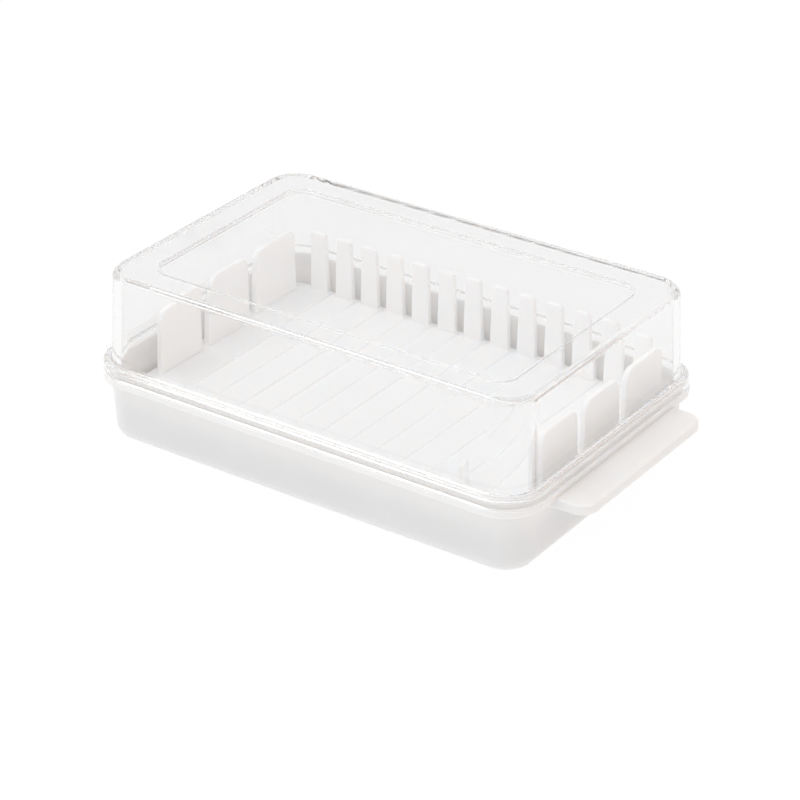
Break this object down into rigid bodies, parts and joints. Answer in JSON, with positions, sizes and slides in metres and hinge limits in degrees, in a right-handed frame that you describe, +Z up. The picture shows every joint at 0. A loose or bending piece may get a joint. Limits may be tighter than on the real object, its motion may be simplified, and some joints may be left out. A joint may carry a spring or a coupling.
{
  "type": "butter cutting box",
  "caption": "Open white box with end tabs, a lift-out cutting guide with knife slots on three sides, and a clear lid that lifts off.",
  "frame": {"origin": "centre of the box's underside, on the surface that it stands on", "axes": "+X along the long side, +Y towards the toothed rear wall of the cutting guide, +Z up"},
  "size_m": [0.1792, 0.105, 0.0553],
  "materials": {
    "box_plastic": "smooth white moulded plastic, satin to glossy",
    "guide_plastic": "smooth white moulded plastic, satin to glossy",
    "lid_plastic": "clear moulded plastic, glossy"
  },
  "bodies": {
    "box": {"base_box": "box_plastic"},
    "guide": {"cutting_guide": "guide_plastic"},
    "lid": {"clear_lid": "lid_plastic"}
  },
  "joints": [
    {"name": "guide_lift", "type": "slide", "parent": "box", "child": "guide", "axis": [0, 0, 1], "range_m": [0, 0.035]},
    {"name": "lid_lift", "type": "slide", "parent": "guide", "child": "lid", "axis": [0, 0, 1], "range_m": [0, 0.045]}
  ]
}
